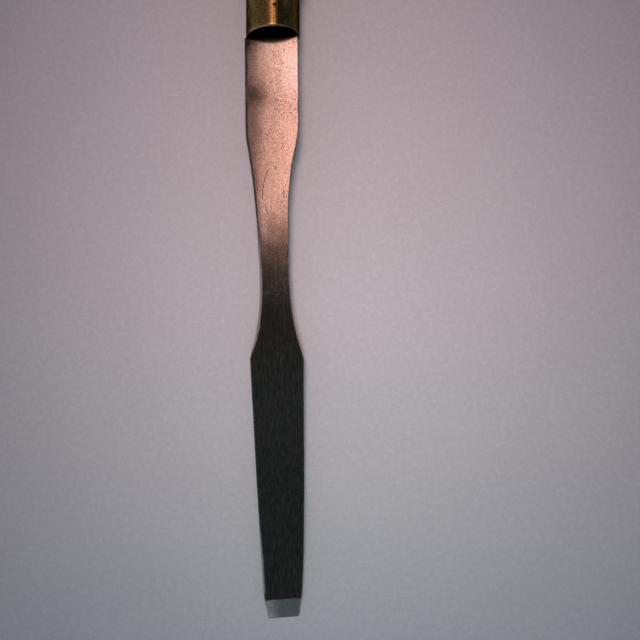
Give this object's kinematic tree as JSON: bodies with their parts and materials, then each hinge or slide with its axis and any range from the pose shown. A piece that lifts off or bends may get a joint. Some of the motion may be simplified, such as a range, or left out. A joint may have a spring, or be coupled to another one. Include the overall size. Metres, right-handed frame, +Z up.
{
  "type": "bench chisel",
  "caption": "Bench chisel with a flat, waisted tang blade with a ground bevel, a pinned brass ferrule and a flat-sided turned wooden handle.",
  "frame": {"origin": "centre of the bottom of the bounding box, on the bench that the tool lies on", "axes": "+Z up from the bench; the tool lies along Y with its handle towards +Y, its cutting edge towards -Y and its bevel up; its axis rises 2.4 degrees towards the handle because it rests on the cutting edge and on the handle's lower flat"},
  "size_m": [0.0344, 0.344, 0.0282],
  "materials": {
    "steel": "worn satin steel with brown-grey patina, fine pitting and lengthwise scratches",
    "brass": "old dull brass, bright only along the rim",
    "beech": "handled, oiled beech with a soft sheen",
    "pin_steel": "dark steel, dressed flush"
  },
  "bodies": {
    "root": {"blade": "steel", "ferrule": "brass", "handle": "beech", "ferrule_pin": "pin_steel"}
  },
  "joints": []
}
